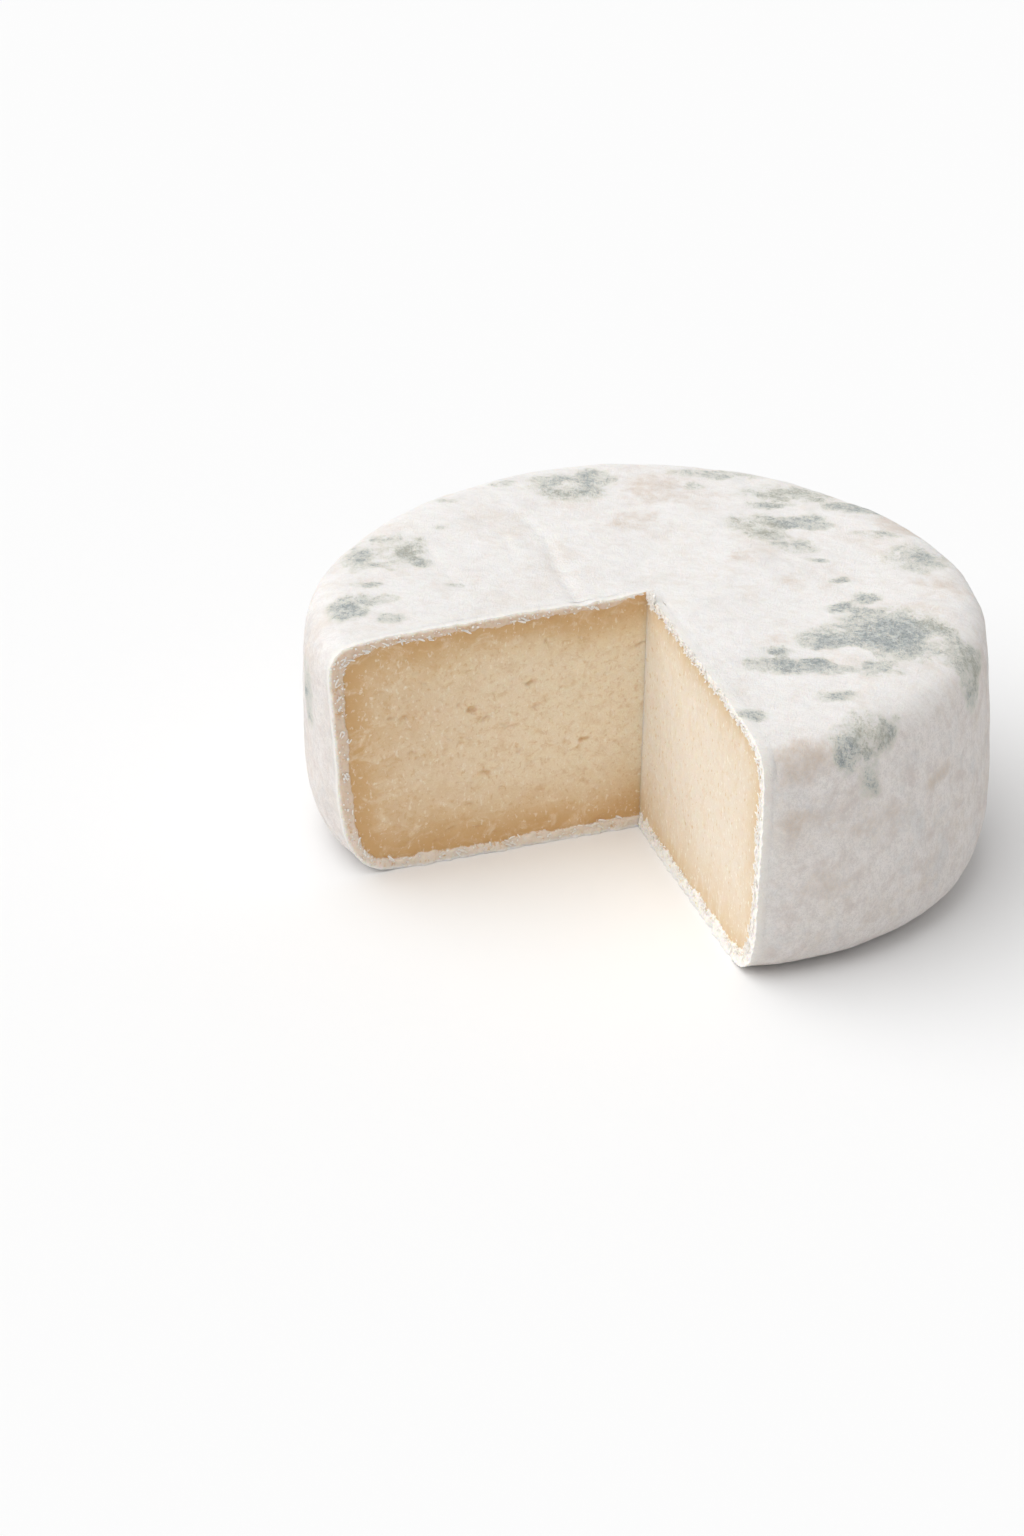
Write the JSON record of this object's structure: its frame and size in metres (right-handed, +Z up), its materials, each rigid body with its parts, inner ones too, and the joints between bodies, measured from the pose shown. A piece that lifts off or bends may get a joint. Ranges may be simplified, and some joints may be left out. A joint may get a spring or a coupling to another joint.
{
  "type": "cheese wheel",
  "caption": "Low round soft-ripened cheese wheel with a white mould rind, a wedge cut out of it and pale paste showing in the notch.",
  "frame": {"origin": "on the surface it stands on, under the middle of the wheel's box", "axes": "+Z up; the notch left by the wedge opens towards -Y"},
  "size_m": [0.2032, 0.1767, 0.08],
  "materials": {
    "rind": "dull, velvety",
    "paste": "smooth, faintly moist"
  },
  "bodies": {
    "root": {"cheese_wheel": "rind"}
  },
  "joints": []
}
